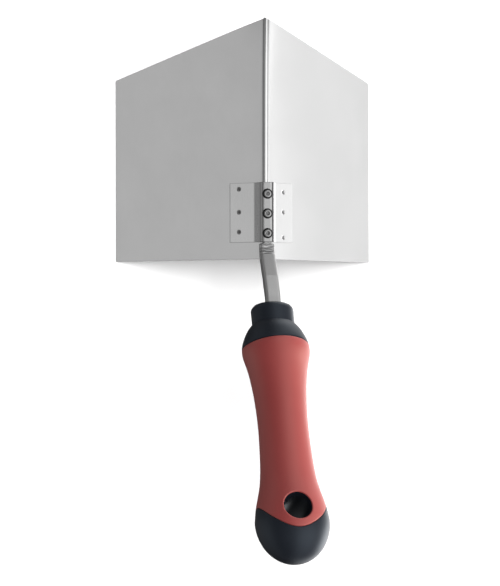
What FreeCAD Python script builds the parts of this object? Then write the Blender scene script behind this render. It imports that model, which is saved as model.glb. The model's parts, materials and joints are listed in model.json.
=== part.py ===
import FreeCAD, Part
import Sketcher
import math
import os

# Corner trowel with a folded V blade and a two-material handle.
#
# Row frame, millimetres: the trowel lies ridge up on the free edges of its two wings.
# Z = 0 is the plane under the wing edges, +Y runs along the ridge to the pointed front,
# X = 0 is the plane of symmetry, and the origin is the middle of the footprint.

Vector = FreeCAD.Vector
Placement = FreeCAD.Placement
Rotation = FreeCAD.Rotation

SIZES = [
    ("wing_width", 88.9, "ridge to free edge, along the wing"),
    ("ridge_length", 114.3, "rear edge to pointed front, along the ridge"),
    ("side_length", 88.1, "length of a wing's free edge"),
    ("blade_sheet", 0.8, "blade sheet thickness"),
    ("fold_inner", 1.8, "inside bend radius of the ridge"),
    ("rear_edge", 13.2, "Y of the blade's rear edge"),
    ("bracket_back", 7.95, "bracket's rear end, forward of the rear edge"),
    ("bracket_length", 28.15, "bracket along the ridge"),
    ("bracket_sheet", 0.9, "bracket sheet thickness"),
    ("bracket_reach", 20.5, "ridge to flange end, along the wing"),
    ("hat_half", 2.83, "half width of the raised strip"),
    ("hat_rise", 3.6, "top of the strip above the sharp ridge line"),
    ("foot_half", 5.0, "ridge plane to the foot of the hat's wall"),
    ("hat_bend", 0.8, "inside bend radius at the strip's edges"),
    ("foot_bend", 1.6, "inside bend radius at the foot of the hat's wall"),
    ("weld_radius", 1.0, "spot-weld dimple radius"),
    ("weld_depth", 0.35, "spot-weld dimple depth"),
    ("rivet_first", 12.0, "rear rivet, forward of the rear edge"),
    ("rivet_pitch", 9.3, "distance between rivets"),
    ("rivet_shank", 1.2, "rivet shank radius"),
    ("rivet_head", 2.45, "rivet head radius"),
    ("rivet_dome", 0.9, "rivet head height"),
    ("rivet_bulb", 1.7, "radius of the blind end"),
    ("rivet_blind", 0.9, "height of the blind end"),
    ("rivet_pin", 0.75, "radius of the rivet's pin"),
    ("pin_recess", 0.25, "top of the pin below the top of the head"),
    ("hole_gap", 0.05, "radial gap round a rivet's shank"),
    ("tang_wide", 7.0, "tang width"),
    ("tang_thick", 5.0, "tang thickness"),
    ("tang_lift", 1.7, "tang centre above the sharp ridge line, at its root"),
    ("tang_start", 7.6, "front end of the full-size tang, forward of the rear edge"),
    ("tang_bend", 2.3, "corner of the first bend, forward of the rear edge"),
    ("tang_rise", 21.5, "corner of the first bend to corner of the second"),
    ("tang_angle", 38.5, "slope of the tang between its bends, degrees"),
    ("first_radius", 8.0, "first bend, centre line"),
    ("second_radius", 12.0, "second bend, centre line"),
    ("palm_wide", 3.6, "width of the flattened end under the bracket"),
    ("palm_thick", 1.9, "thickness of the flattened end"),
    ("palm_gap", 0.06, "gap between the strip and the flattened end"),
    ("palm_overlap", 3.0, "how far the flattened end reaches into the full-size tang"),
    ("palm_front", 34.5, "front of the flattened end, forward of the rear edge"),
    ("spike_depth", 62.0, "how far the tang goes into the handle"),
    ("notch_size", 2.2, "side of a keying notch in the spike"),
    ("notch_first", 21.7, "first pair of notches, from the handle's front face"),
    ("notch_pitch", 9.9, "distance between pairs of notches"),
    ("handle_angle", 23.0, "slope of the handle, degrees"),
    ("handle_roll", 4.5, "turn of the moulded handle about its own axis, degrees"),
    ("handle_yaw", 0.9, "slant of the moulded handle across the tang, degrees"),
    ("slant_at", 57.0, "where the two axes cross, from the handle's front face"),
    ("handle_gap", 8.6, "second bend's corner to the handle's front face"),
    ("depth_ratio", 0.8, "handle depth over handle width"),
    ("collar_half", 10.15, "half width of the collar"),
    ("collar_length", 9.6, "length of the collar"),
    ("collar_round", 3.2, "rounding of the collar's front edge"),
    ("grip_skin", 2.2, "thickness of the soft sleeve"),
    ("grip_start", 20.0, "front of the sleeve, from the handle's front face"),
    ("grip_end", 100.0, "rear of the sleeve at the sides"),
    ("lobe_at", 101.9, "centre of the sleeve's round rear lobe"),
    ("lobe_radius", 12.0, "radius of the sleeve's round rear lobe"),
    ("hole_at", 103.3, "centre of the hang hole"),
    ("hole_radius", 5.8, "hang hole radius"),
    ("lining_radius", 6.6, "outer radius of the hang hole's lining"),
    ("end_at", 126.7, "rear end of the handle"),
    ("end_half", 2.6, "half width of the small flat at the rear end"),
]

# Half widths of the handle between the collar and the rear end, with their distance from the
# handle's front face. The sections are ellipses.
STATIONS = [
    ("neck", 8.8, 9.5),
    ("shoulder", 15.5, 14.0),
    ("bulge", 22.6, 16.0),
    ("taper", 39.0, 13.05),
    ("waist", 58.0, 11.75),
    ("swell", 76.5, 12.25),
    ("flare", 92.0, 14.05),
    ("heel", 107.0, 17.3),
    ("roundoff", 118.0, 14.3),
    ("crown", 124.0, 8.5),
]

# Spot welds: side (+1 right, -1 left), distance from the ridge along the wing, and distance
# forward of the rear edge. They were made by hand, so the two sides differ a little.
WELDS = [
    (-1, 15.0, 33.3),
    (-1, 15.0, 22.4),
    (-1, 15.0, 13.0),
    (1, 13.0, 31.8),
    (1, 13.0, 22.4),
    (1, 13.0, 10.3),
]

RIVET_NAMES = ["rear", "middle", "front"]
NOTCH_ROWS = 4
UNDER_PALM = "-(@bracket_sheet + @palm_gap + @palm_thick)"  # from the top of the strip
FAR = 60.0  # longer than any cut needs

doc = FreeCAD.newDocument("corner_trowel")
sheet = doc.addObject("Spreadsheet::Sheet", "sizes")


def fill_sheet():
    """Writes the driving dimensions, one row each: name, value, what it is."""
    rows = list(SIZES)
    for name, along, half in STATIONS:
        rows.append((name + "_at", along, "handle station, from the front face"))
        rows.append((name + "_half", half, "half width at that station"))
    for row, (name, value, note) in enumerate(rows, start=1):
        sheet.set(f"A{row}", name)
        sheet.set(f"B{row}", str(value))
        sheet.setAlias(f"B{row}", name)
        sheet.set(f"C{row}", note)
    doc.recompute()


def expand(expression):
    """Turns @name into a reference to the sheet's cell of that name."""
    return expression.replace("@", "sizes.")


def value_of(expression):
    """The number that an expression of the sheet's names gives."""
    result = sheet.evalExpression(expand(expression))
    return float(getattr(result, "Value", result))


def bind(obj, prop, expression):
    """Drives a property of obj from the sheet."""
    obj.setExpression(prop, expand(expression))


# Height of the sharp ridge line: the wing's inner edge corner is the lowest point, at Z = 0.
RIDGE = "((@wing_width + @blade_sheet) * sin(45))"


def place_on_ridge(obj):
    """Puts the object's own origin on the sharp ridge line, over the blade's rear edge."""
    bind(obj, "Placement.Base.y", "@rear_edge")
    bind(obj, "Placement.Base.z", RIDGE)


def new_body(name):
    """An empty PartDesign body."""
    return doc.addObject("PartDesign::Body", name)


def origin_plane(body, role):
    """One of the body's own origin planes."""
    for feature in body.Origin.OriginFeatures:
        if feature.Role == role:
            return feature
    raise ValueError("no plane " + role)


def new_sketch(body, name, role):
    """A sketch on one of the body's origin planes."""
    sketch = body.newObject("Sketcher::SketchObject", name)
    sketch.AttachmentSupport = [(origin_plane(body, role), "")]
    sketch.MapMode = "FlatFace"
    return sketch


def pin_point(sketch, geometry, corner, x, y, tag):
    """Holds a point of the sketch at two distances from the sketch's origin."""
    for axis, line, text in (("DistanceX", -2, x), ("DistanceY", -1, y)):
        if text == "0":
            sketch.addConstraint(Sketcher.Constraint("PointOnObject", geometry, corner, line))
            continue
        constraint = Sketcher.Constraint(axis, -1, 1, geometry, corner, value_of(text))
        index = sketch.addConstraint(constraint)
        sketch.renameConstraint(index, tag + axis[-1])
        bind(sketch, "Constraints." + tag + axis[-1], text)


def bound_polygon(sketch, corners):
    """A closed outline whose corners are pairs of expressions."""
    points = [Vector(value_of(x), value_of(y), 0) for x, y in corners]
    first = sketch.GeometryCount
    count = len(points)
    for i in range(count):
        sketch.addGeometry(Part.LineSegment(points[i], points[(i + 1) % count]), False)
    for i in range(count):
        joined = first + (i + 1) % count
        sketch.addConstraint(Sketcher.Constraint("Coincident", first + i, 2, joined, 1))
    for i, (x, y) in enumerate(corners):
        pin_point(sketch, first + i, 1, x, y, f"corner{first + i}")


def bound_circle(sketch, x, y, radius):
    """A circle whose centre and radius are expressions."""
    centre = Vector(value_of(x), value_of(y), 0)
    circle = Part.Circle(centre, Vector(0, 0, 1), value_of(radius))
    index = sketch.addGeometry(circle, False)
    pin_point(sketch, index, 3, x, y, f"centre{index}")
    made = sketch.addConstraint(Sketcher.Constraint("Radius", index, value_of(radius)))
    sketch.renameConstraint(made, f"radius{index}")
    bind(sketch, f"Constraints.radius{index}", radius)


def mirrored(half):
    """A closed outline from the corners of its right half, listed along the outline."""
    left = [("-(" + x + ")", y) for x, y in reversed(half) if x != "0"]
    return half + left


def pad_along_y(body, sketch, length, start="0"):
    """A pad from a sketch on the XZ plane, towards +Y, starting at start."""
    bind(sketch, "AttachmentOffset.Base.z", "-(" + start + ")")
    pad = body.newObject("PartDesign::Pad", sketch.Name + "_pad")
    pad.Profile = sketch
    pad.Reversed = True
    bind(pad, "Length", length)
    doc.recompute()
    return pad


def cut_through(body, sketch):
    """A pocket both ways through the body. It stops the build if it removes nothing."""
    before = body.Shape.Volume
    pocket = body.newObject("PartDesign::Pocket", sketch.Name + "_pocket")
    pocket.Profile = sketch
    pocket.SideType = "Symmetric"
    pocket.Length = 4 * FAR
    doc.recompute()
    if body.Shape.Volume > before - 0.01:
        raise RuntimeError(sketch.Name + " cuts nothing")
    return pocket


def edges_along(shape, direction, wanted):
    """Names of the straight edges that run along direction and that wanted(middle) accepts."""
    names = []
    for number, edge in enumerate(shape.Edges, start=1):
        if not isinstance(edge.Curve, Part.Line):
            continue
        middle = edge.CenterOfMass
        if abs(abs(edge.Curve.Direction.dot(direction)) - 1) < 1e-6 and wanted(middle):
            names.append(f"Edge{number}")
    return names


def round_edges(body, feature, names, radius):
    """A fillet on the named edges of the body's last feature."""
    fillet = body.newObject("PartDesign::Fillet", feature.Name + f"_round{len(body.Group)}")
    fillet.Base = (feature, names)
    bind(fillet, "Radius", radius)
    doc.recompute()
    return fillet


def make_blade():
    """A sheet folded to a right angle, with its front edges swept back from the ridge."""
    body = new_body("blade")
    section = new_sketch(body, "blade_section", "XZ_Plane")
    free = "@wing_width * sin(45)"
    inner = "(@wing_width - @blade_sheet) * sin(45)"
    lower = "-(@wing_width + @blade_sheet) * sin(45)"
    half = [
        ("0", "0"),
        (free, "-" + free),
        (inner, lower),
        ("0", "-@blade_sheet / sin(45)"),
    ]
    bound_polygon(section, mirrored(half))
    pad = pad_along_y(body, section, "@ridge_length")
    on_ridge = edges_along(pad.Shape, Vector(0, 1, 0), lambda p: abs(p.x) < 1e-6)
    heights = {n: pad.Shape.getElement(n).CenterOfMass.z for n in on_ridge}
    inside = min(heights, key=heights.get)
    outside = max(heights, key=heights.get)
    bend = round_edges(body, pad, [outside], "@fold_inner + @blade_sheet")
    found = edges_along(
        bend.Shape,
        Vector(0, 1, 0),
        lambda p: abs(p.x) < 1e-6 and abs(p.z - heights[inside]) < 1e-6,
    )
    round_edges(body, bend, found, "@fold_inner")
    front = new_sketch(body, "blade_sweep", "XY_Plane")
    slope = "(@ridge_length - @side_length) / (@wing_width * sin(45))"
    bound_polygon(front, mirrored([
        ("0", "@ridge_length"),
        (str(2 * FAR), f"@ridge_length - {2 * FAR} * {slope}"),
        (str(2 * FAR), f"@ridge_length + {FAR}"),
    ]))
    cut_through(body, front)
    place_on_ridge(body)
    return body


def make_bracket():
    """A hat-section plate: two flanges on the wings and a raised strip over the ridge."""
    body = new_body("bracket_plate")
    section = new_sketch(body, "hat_section", "XZ_Plane")
    # The hat's wall runs from its foot on the flange to the strip. Its inner face is one sheet
    # thickness inside the outer one, so each inner corner is shifted along by the sheet
    # thickness times the tangent of half the bend.
    run = "(@foot_half - @hat_half)"
    fall = "(@hat_rise - @bracket_sheet / sin(45) + @foot_half)"
    slant = f"atan({fall} / {run})"
    top_in = f"(@hat_half - @bracket_sheet * tan({slant} / 2))"
    foot_in = f"(@foot_half - @bracket_sheet * (1 + tan(({slant} - 45 deg) / 2)) * sin(45))"
    flange = "@bracket_reach * sin(45)"
    sheet_rise = "@bracket_sheet * sin(45)"
    right = [
        ("@hat_half", "@hat_rise"),
        ("@foot_half", "@bracket_sheet / sin(45) - @foot_half"),
        (f"{flange} + {sheet_rise}", f"{sheet_rise} - {flange}"),
        (flange, "-" + flange),
        (foot_in, "-" + foot_in),
        (top_in, "@hat_rise - @bracket_sheet"),
    ]
    left = [("-(" + x + ")", y) for x, y in reversed(right)]
    bound_polygon(section, right + left)
    pad = pad_along_y(body, section, "@bracket_length", "@bracket_back")
    # Bends: at each corner height, the radius on that face of the sheet.
    bends = [
        ("@hat_rise", "@hat_bend + @bracket_sheet"),
        ("@hat_rise - @bracket_sheet", "@hat_bend"),
        ("@bracket_sheet / sin(45) - @foot_half", "@foot_bend"),
        ("-" + foot_in, "@foot_bend + @bracket_sheet"),
    ]
    for height, radius in bends:
        level = value_of(height)
        found = edges_along(pad.Shape, Vector(0, 1, 0), lambda p: abs(p.z - level) < 1e-6)
        pad = round_edges(body, pad, found, radius)
    holes = new_sketch(body, "rivet_holes", "XY_Plane")
    for number in range(len(RIVET_NAMES)):
        along = f"@rivet_first + {number} * @rivet_pitch"
        bound_circle(holes, "0", along, "@rivet_shank + @hole_gap")
    cut_through(body, holes)
    place_on_ridge(body)
    return weld_dimples(body)


def weld_dimples(plate):
    """Cuts the shallow round dents of the spot welds into the bracket's flanges."""
    dents = []
    for number, (side, reach, forward) in enumerate(WELDS, start=1):
        dent = doc.addObject("Part::Cone", f"weld_dent{number}")
        bind(dent, "Radius1", "@weld_radius * 0.5")
        bind(dent, "Radius2", "@weld_radius")
        bind(dent, "Height", "@weld_depth")
        dent.Placement.Rotation = Rotation(Vector(0, 1, 0), side * 45)
        depth = f"({side * reach} * sin(45) + {side} * (@bracket_sheet - @weld_depth) * sin(45))"
        bind(dent, "Placement.Base.x", depth)
        bind(dent, "Placement.Base.y", f"@rear_edge + {forward}")
        rise = f"((@bracket_sheet - @weld_depth - {reach}) * sin(45))"
        bind(dent, "Placement.Base.z", RIDGE + " + " + rise)
        dents.append(dent)
    tools = doc.addObject("Part::MultiFuse", "weld_dents")
    tools.Shapes = dents
    bracket = doc.addObject("Part::Cut", "bracket")
    bracket.Base = plate
    bracket.Tool = tools
    doc.recompute()
    return bracket


def revolved(name, corners, along):
    """A body turned about a vertical axis at a rivet's place. Corners are (radius, height)."""
    body = new_body(name)
    section = new_sketch(body, name + "_section", "XZ_Plane")
    bound_polygon(section, corners)
    turned = body.newObject("PartDesign::Revolution", name + "_turned")
    turned.Profile = section
    turned.ReferenceAxis = (section, ["V_Axis"])
    turned.Angle = 360
    bind(body, "Placement.Base.y", "@rear_edge + " + along)
    bind(body, "Placement.Base.z", RIDGE + " + @hat_rise")
    doc.recompute()
    return body


def make_rivet(name, along):
    """A blind rivet: domed head on the strip, shank, and blind end under the tang."""
    under = UNDER_PALM
    end = UNDER_PALM + " - @rivet_blind"
    body = revolved("rivet_" + name, [
        ("@rivet_pin", "@rivet_dome"),
        ("@rivet_head", "@rivet_dome"),
        ("@rivet_head", "0"),
        ("@rivet_shank", "0"),
        ("@rivet_shank", under),
        ("@rivet_bulb", under),
        ("@rivet_bulb", end),
        ("@rivet_pin", end),
    ], along)
    rim = value_of("@rivet_head")
    top = value_of("@rivet_dome")
    for number, edge in enumerate(body.Shape.Edges, start=1):
        if isinstance(edge.Curve, Part.Circle) and abs(edge.Curve.Radius - rim) < 1e-6:
            local = body.Placement.inverse().multVec(edge.CenterOfMass)
            if abs(local.z - top) < 1e-6:
                round_edges(body, body.Tip, [f"Edge{number}"], "@rivet_dome - 0.1")
                break
    return body


def make_rivet_pin(name, along):
    """The pin that stays inside a blind rivet, broken off just below the head's top."""
    end = UNDER_PALM + " - @rivet_blind"
    top = "@rivet_dome - @pin_recess"
    return revolved("rivet_pin_" + name, [
        ("0", top),
        ("@rivet_pin", top),
        ("@rivet_pin", end),
        ("0", end),
    ], along)


def tang_path(body):
    """The tang's centre line: along the ridge, up the slope, then along the handle."""
    sketch = new_sketch(body, "tang_path", "YZ_Plane")
    start = Vector(value_of("@tang_start"), value_of("@tang_lift"), 0)
    first = Vector(value_of("@tang_bend"), value_of("@tang_lift"), 0)
    slope = math.radians(value_of("@tang_angle"))
    lean = math.radians(value_of("@handle_angle"))
    second = first + Vector(-math.cos(slope), math.sin(slope), 0) * value_of("@tang_rise")
    inside = value_of("@handle_gap + @spike_depth")
    last = second + Vector(-math.cos(lean), math.sin(lean), 0) * inside
    corners = [start, first, second, last]
    radii = [value_of("@first_radius"), value_of("@second_radius")]
    previous = start
    pieces = []
    for i, radius in enumerate(radii, start=1):
        before = (corners[i] - corners[i - 1]).normalize()
        after = (corners[i + 1] - corners[i]).normalize()
        turn = before.getAngle(after)
        reach = radius * math.tan(turn / 2)
        begin = corners[i] - before * reach
        finish = corners[i] + after * reach
        inward = (after - before).normalize()
        middle = corners[i] + inward * (radius / math.cos(turn / 2) - radius)
        pieces.append(Part.LineSegment(previous, begin))
        pieces.append(Part.Arc(begin, middle, finish))
        previous = finish
    pieces.append(Part.LineSegment(previous, last))
    sketch.addGeometry(pieces, False)
    ends = []
    for i in range(len(pieces) - 1):
        here = end_near(sketch, i, sketch.getPoint(i + 1, 1), sketch.getPoint(i + 1, 2))
        there = end_near(sketch, i + 1, sketch.getPoint(i, 1), sketch.getPoint(i, 2))
        ends.append((i, here, i + 1, there))
    for end in ends:
        sketch.addConstraint(Sketcher.Constraint("Tangent", *end))
    pin_point(sketch, 0, 1, "@tang_start", "@tang_lift", "start")
    sketch.addConstraint(Sketcher.Constraint("Horizontal", 0))
    name_size(sketch, Sketcher.Constraint("Radius", 1, radii[0]), "bend1", "@first_radius")
    name_size(sketch, Sketcher.Constraint("Radius", 3, radii[1]), "bend2", "@second_radius")
    turns = {1: "@tang_angle", 3: "(@tang_angle - @handle_angle)"}
    cut = {n: f"@{w}_radius * tan({turns[n]} / 2)" for n, w in ((1, "first"), (3, "second"))}
    lengths = {
        0: f"@tang_start - @tang_bend - {cut[1]}",
        2: f"@tang_rise - {cut[1]} - {cut[3]}",
        4: f"@handle_gap + @spike_depth - {cut[3]}",
    }
    for index, length in lengths.items():
        fixed = Sketcher.Constraint("Distance", index, value_of(length))
        name_size(sketch, fixed, f"length{index}", length)
    for index, slope in ((2, "@tang_angle"), (4, "@handle_angle")):
        angle = math.radians(180 - value_of(slope))
        fixed = Sketcher.Constraint("Angle", index, angle)
        name_size(sketch, fixed, f"slope{index}", f"180 deg - {slope} * 1 deg")
    doc.recompute()
    return sketch


def end_near(sketch, index, one, other):
    """Which end (1 or 2) of a sketch element meets one of two given points."""
    for corner in (1, 2):
        point = sketch.getPoint(index, corner)
        if min((point - one).Length, (point - other).Length) < 1e-6:
            return corner
    raise ValueError("the path's pieces don't meet")


def name_size(sketch, constraint, name, expression):
    """Adds a dimension to a sketch and drives it from the sheet."""
    index = sketch.addConstraint(constraint)
    sketch.renameConstraint(index, name)
    bind(sketch, "Constraints." + name, expression)


def handle_frame(moulded=True):
    """Placement of the handle: its own Z runs from the front face to the rear end and its own
    Y comes out of the hang hole, on the side away from the blade. The moulded part of the
    handle is rolled and slanted a little against the tang, whose own X is the row's X."""
    slope = math.radians(value_of("@tang_angle"))
    lean = math.radians(value_of("@handle_angle"))
    rise = value_of("@tang_rise")
    gap = value_of("@handle_gap")
    y = value_of("@rear_edge + @tang_bend") - rise * math.cos(slope) - gap * math.cos(lean)
    z = value_of(RIDGE + " + @tang_lift") + rise * math.sin(slope) + gap * math.sin(lean)
    turn = Rotation(Vector(1, 0, 0), 90 - value_of("@handle_angle"))
    x = 0.0
    if moulded:
        slant = value_of("@handle_yaw")
        turn = turn.multiply(Rotation(Vector(0, 1, 0), slant))
        turn = turn.multiply(Rotation(Vector(0, 0, 1), -value_of("@handle_roll")))
        x = -value_of("@slant_at") * math.sin(math.radians(slant))
    return Placement(Vector(x, y, z), turn)


def on_handle(obj, x=0.0, y=0.0, z=0.0, turn=None, moulded=True):
    """Places obj in the handle's own frame."""
    local = Placement(Vector(x, y, z), turn or Rotation())
    obj.Placement = handle_frame(moulded).multiply(local)
    return obj


def make_tang():
    """A square bar with two bends, flattened at the front and notched at the rear."""
    body = new_body("tang_bar")
    path = tang_path(body)
    section = new_sketch(body, "tang_section", "XZ_Plane")
    bind(section, "AttachmentOffset.Base.z", "-@tang_start")
    side = "@tang_wide / 2"
    low = "@tang_lift - @tang_thick / 2"
    high = "@tang_lift + @tang_thick / 2"
    bound_polygon(section, mirrored([(side, low), (side, high)]))
    doc.recompute()
    pipe = body.newObject("PartDesign::AdditivePipe", "tang_sweep")
    pipe.Profile = section
    pipe.Spine = (path, [f"Edge{i + 1}" for i in range(5)])
    doc.recompute()
    palm = new_sketch(body, "tang_palm", "XZ_Plane")
    top = "(@hat_rise - @bracket_sheet - @palm_gap)"
    half = "@palm_wide / 2"
    bound_polygon(palm, mirrored([(half, f"{top} - @palm_thick"), (half, top)]))
    start = "(@tang_start - @palm_overlap)"
    pad_along_y(body, palm, f"@palm_front - {start}", start)
    holes = new_sketch(body, "palm_holes", "XY_Plane")
    for number in range(len(RIVET_NAMES)):
        along = f"@rivet_first + {number} * @rivet_pitch"
        bound_circle(holes, "0", along, "@rivet_shank + @hole_gap")
    cut_through(body, holes)
    place_on_ridge(body)
    return notch_spike(body)


def notch_spike(bar):
    """Cuts the keying notches that hold the spike in the moulded handle."""
    notches = []
    for row in range(NOTCH_ROWS):
        for side in (-1, 1):
            notch = doc.addObject("Part::Box", f"notch{len(notches) + 1}")
            for prop in ("Length", "Height"):
                bind(notch, prop, "@notch_size")
            bind(notch, "Width", "@tang_thick * 2")
            size = value_of("@notch_size")
            along = value_of(f"@notch_first + {row} * @notch_pitch")
            edge = Rotation(Vector(0, 1, 0), 45)
            out = side * value_of("@tang_wide / 2") - size * math.sin(math.radians(45))
            on_handle(notch, out, -value_of("@tang_thick"), along, edge, moulded=False)
            notches.append(notch)
    tools = doc.addObject("Part::MultiFuse", "notches")
    tools.Shapes = notches
    tang = doc.addObject("Part::Cut", "tang")
    tang.Base = bar
    tang.Tool = tools
    doc.recompute()
    return tang


def handle_section(name, along, half, shrink):
    """One ellipse across the handle, drawn square to its axis."""
    ring = doc.addObject("Part::Ellipse", name)
    bind(ring, "MajorRadius", f"{half} - {shrink}")
    bind(ring, "MinorRadius", f"{half} * @depth_ratio - {shrink}")
    return on_handle(ring, z=value_of(along))


def lofted(name, shrink, ends):
    """A smooth solid through the handle's stations, every one smaller by shrink."""
    rings = []
    for station, _, _ in STATIONS:
        ring = handle_section(f"{name}_{station}", f"@{station}_at", f"@{station}_half", shrink)
        rings.append(ring)
    for along, half in ends:
        rings.append(handle_section(f"{name}_end", along, half, shrink))
    loft = doc.addObject("Part::Loft", name)
    loft.Sections = rings
    loft.Solid = True
    loft.Ruled = False
    doc.recompute()
    return loft


def make_collar():
    """The collar at the front of the handle: an elliptic cylinder with a rounded front edge."""
    ring = handle_section("collar_ring", "0 * @collar_length", "@collar_half", "0")
    block = doc.addObject("Part::Extrusion", "collar_block")
    block.Base = ring
    block.DirMode = "Custom"
    block.Dir = handle_frame().Rotation.multVec(Vector(0, 0, 1))
    bind(block, "LengthFwd", "@collar_length")
    block.Solid = True
    doc.recompute()
    front = handle_frame().Base
    nearest = min(
        range(len(block.Shape.Edges)),
        key=lambda i: (block.Shape.Edges[i].CenterOfMass - front).Length
        + 100 * (not block.Shape.Edges[i].isClosed()),
    )
    radius = value_of("@collar_round")
    collar = doc.addObject("Part::Fillet", "collar")
    collar.Base = block
    collar.Edges = [(nearest + 1, radius, radius)]
    doc.recompute()
    return collar


def round_bar(name, radius, along):
    """A cylinder square to the handle, through its depth, at a distance from the front face."""
    bar = doc.addObject("Part::Cylinder", name)
    bind(bar, "Radius", radius)
    bar.Height = FAR
    turn = Rotation(Vector(1, 0, 0), -90)
    return on_handle(bar, 0, -FAR / 2, value_of(along), turn)


def boolean(kind, name, first, second):
    """A Part boolean of two objects."""
    result = doc.addObject("Part::" + kind, name)
    result.Base = first
    result.Tool = second
    doc.recompute()
    return result


def make_handle(tang):
    """The hard core and the soft sleeve moulded over it, both with the hang hole."""
    outer_loft = lofted("handle_outside", "0", [("@end_at", "@end_half")])
    outer = boolean("Fuse", "handle_outline", outer_loft, make_collar())
    inner = lofted("core_outside", "@grip_skin", [])
    band = doc.addObject("Part::Box", "grip_band")
    band.Length = FAR
    band.Width = FAR
    bind(band, "Height", "@grip_end - @grip_start")
    on_handle(band, -FAR / 2, -FAR / 2, value_of("@grip_start"))
    lobe = round_bar("grip_lobe", "@lobe_radius", "@lobe_at")
    zone = boolean("Fuse", "grip_zone", band, lobe)
    skin = boolean("Common", "grip_skin_full", outer, zone)
    shell = boolean("Cut", "grip_shell", skin, inner)
    lining = round_bar("lining_bar", "@lining_radius", "@hole_at")
    sleeve = boolean("Cut", "grip_sleeve", shell, lining)
    solid = boolean("Cut", "core_solid", outer, sleeve)
    bore = round_bar("hang_bore", "@hole_radius", "@hole_at")
    bored = boolean("Cut", "core_bored", solid, bore)
    core = boolean("Cut", "handle_core", bored, tang)
    return core, sleeve


def check_document():
    """Stops the build if any object of the document failed."""
    for obj in doc.Objects:
        if "Invalid" in obj.State or "Error" in obj.State:
            raise RuntimeError(f"{obj.Name} failed: {obj.State}")


def write_parts(parts):
    """Checks each sub-part and writes its STEP file."""
    os.makedirs("parts", exist_ok=True)
    for part in parts:
        shape = part.Shape
        if shape.isNull() or not shape.isValid():
            raise RuntimeError(part.Name + " has no valid shape")
        box = shape.BoundBox
        print(
            f"{part.Label:18s} solids {len(shape.Solids)} volume {shape.Volume:9.1f} "
            f"x {box.XMin:7.2f} {box.XMax:7.2f} y {box.YMin:8.2f} {box.YMax:8.2f} "
            f"z {box.ZMin:7.2f} {box.ZMax:7.2f}"
        )
        shape.exportStep(f"parts/{part.Label}.step")


def main():
    fill_sheet()
    tang = make_tang()
    parts = [make_blade(), make_bracket(), tang]
    for number, name in enumerate(RIVET_NAMES):
        along = f"@rivet_first + {number} * @rivet_pitch"
        parts.append(make_rivet(name, along))
        parts.append(make_rivet_pin(name, along))
    parts.extend(make_handle(tang))
    doc.recompute()
    check_document()
    for part in parts:
        part.Label = part.Name
    write_parts(parts)


main()
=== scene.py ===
import json
import math

import bmesh
import bpy
import numpy as np
from mathutils import Matrix, Vector


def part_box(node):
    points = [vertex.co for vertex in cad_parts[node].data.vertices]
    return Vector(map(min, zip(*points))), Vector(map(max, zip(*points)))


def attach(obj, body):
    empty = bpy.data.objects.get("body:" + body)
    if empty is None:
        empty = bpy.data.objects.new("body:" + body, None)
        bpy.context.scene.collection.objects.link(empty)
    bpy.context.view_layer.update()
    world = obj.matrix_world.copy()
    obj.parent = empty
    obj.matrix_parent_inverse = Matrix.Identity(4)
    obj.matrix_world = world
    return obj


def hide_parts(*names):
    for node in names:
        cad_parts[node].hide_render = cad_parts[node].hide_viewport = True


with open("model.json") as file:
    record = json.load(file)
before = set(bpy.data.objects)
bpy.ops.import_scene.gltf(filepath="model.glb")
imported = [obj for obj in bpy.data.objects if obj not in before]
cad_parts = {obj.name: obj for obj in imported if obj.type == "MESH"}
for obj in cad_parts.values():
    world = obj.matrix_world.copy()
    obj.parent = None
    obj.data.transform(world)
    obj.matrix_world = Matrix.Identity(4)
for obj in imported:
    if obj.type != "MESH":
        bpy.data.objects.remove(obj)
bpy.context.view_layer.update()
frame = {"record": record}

MM = 0.001
ROOT = "root"

# ---------------------------------------------------------------- places read from the frame

blade_low, blade_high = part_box("blade")
bracket_low, bracket_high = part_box("bracket")
HOLE = next(m for m in frame["record"]["mounts"] if m["name"] == "hang_hole")

REAR = blade_low.y                       # Y of the blade's rear edge
RIDGE_LENGTH = blade_high.y - REAR
WING_HALF = blade_high.x                 # plan width of one wing
SHEET = 0.8 * MM
RIDGE_Z = WING_HALF + SHEET * math.sqrt(0.5)   # sharp outer ridge line, wings at 45 degrees

# The handle's own frame: u runs from the front face to the rear end, v comes out of the hang
# hole on the side away from the blade, and w is square to both, towards the right wing.
HOLE_AT = 103.3 * MM
HANDLE_SLOPE = math.radians(23)          # its rear end is higher
HANDLE_YAW = math.radians(0.9)           # and a little to the right
HANDLE_U = Vector((
    math.sin(HANDLE_YAW),
    -math.cos(HANDLE_YAW) * math.cos(HANDLE_SLOPE),
    math.cos(HANDLE_YAW) * math.sin(HANDLE_SLOPE),
))
HANDLE_V = Vector(HOLE["axis"]).normalized()
HANDLE_W = HANDLE_V.cross(HANDLE_U)
HANDLE_START = Vector(HOLE["pos_m"]) - HANDLE_U * HOLE_AT


# ---------------------------------------------------------------- mesh helpers

SMOOTH_ANGLE = 35             # degrees between faces, from which an edge is sharp


def new_piece(name, vertices, faces, material):
    """A mesh object, linked into the scene and smooth shaded."""
    mesh = bpy.data.meshes.new(name)
    mesh.from_pydata([tuple(v) for v in vertices], [], faces)
    mesh.update()
    mesh.materials.append(material)
    piece = bpy.data.objects.new(name, mesh)
    bpy.context.scene.collection.objects.link(piece)
    shade(piece, SMOOTH_ANGLE)
    return piece


def shade(piece, angle):
    """Smooth shading with sharp edges where faces meet at more than angle degrees."""
    mesh = piece.data
    mesh.shade_smooth()
    mesh.set_sharp_from_angle(angle=math.radians(angle))


def hand_over(piece, node):
    """The piece rides on the root and stands in for its CAD node, which is hidden."""
    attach(piece, ROOT)
    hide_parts(node)


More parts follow.
